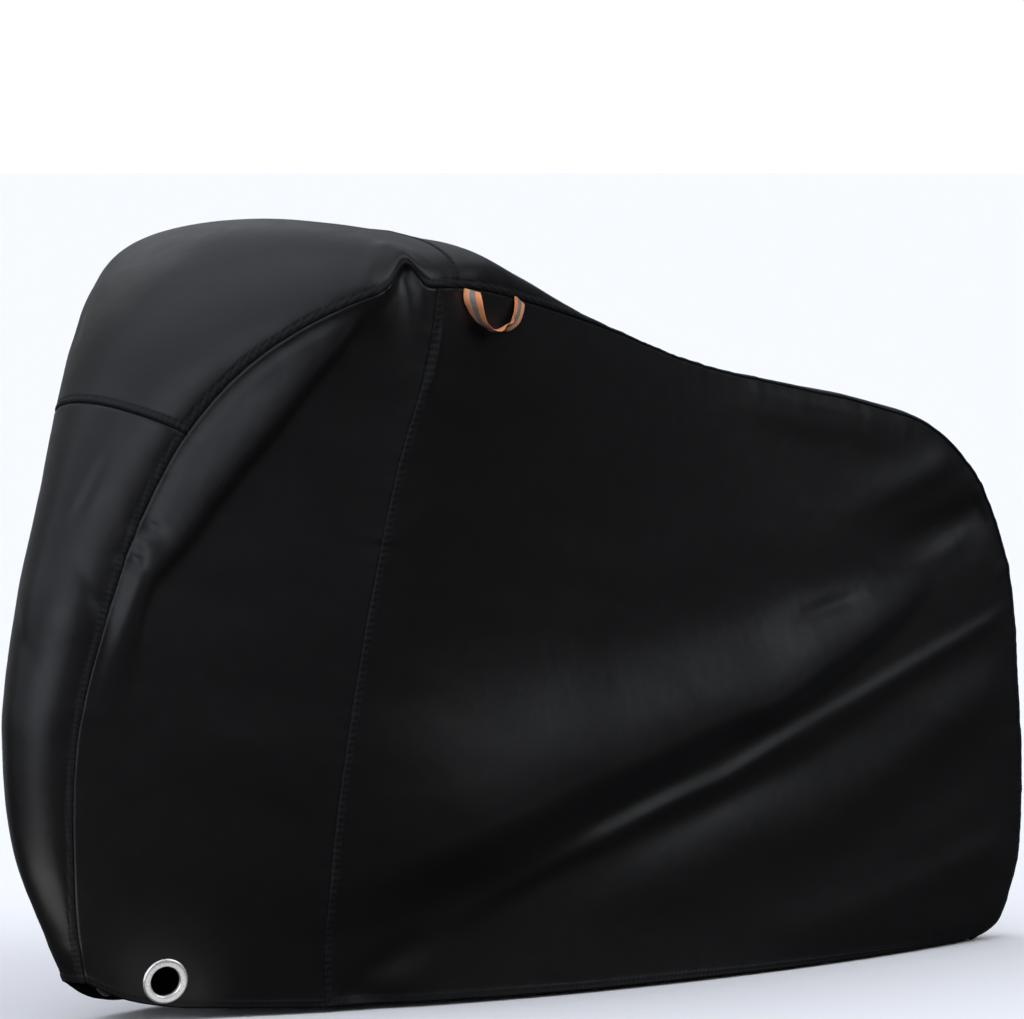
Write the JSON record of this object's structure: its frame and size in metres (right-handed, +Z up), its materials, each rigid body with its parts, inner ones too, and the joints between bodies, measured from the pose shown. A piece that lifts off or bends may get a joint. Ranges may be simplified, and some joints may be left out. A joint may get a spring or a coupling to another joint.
{
  "type": "bicycle cover",
  "caption": "Fitted cloth rain cover for a bicycle: a domed hood over the handlebar, tapering side panels, an open bottom, lock eyelets low at the front and a webbing loop.",
  "frame": {"origin": "on the ground under the middle of the cover, halfway along its length and in its middle plane", "axes": "+Z up; +X from the front wheel's end to the rear wheel's end, along the bicycle; +Y from the cover's left side to its right side, so the eyelet and the loop in view are at -Y"},
  "size_m": [1.963, 0.6037, 1.109],
  "materials": {
    "cloth": "black woven polyester with a coating, soft sheen",
    "eyelet_metal": "nickel plated, bright, lightly worn",
    "webbing": "woven reflective webbing, orange edges and a grey middle"
  },
  "bodies": {
    "root": {"hood": "cloth", "front_gusset": "cloth", "rear_strip": "cloth", "side_front_left": "cloth", "side_front_right": "cloth", "side_rear_left": "cloth", "side_rear_right": "cloth", "eyelet_strip_left": "cloth", "eyelet_strip_right": "cloth", "eyelet_ring_left": "eyelet_metal", "eyelet_ring_right": "eyelet_metal", "webbing_loop": "webbing"}
  },
  "joints": []
}
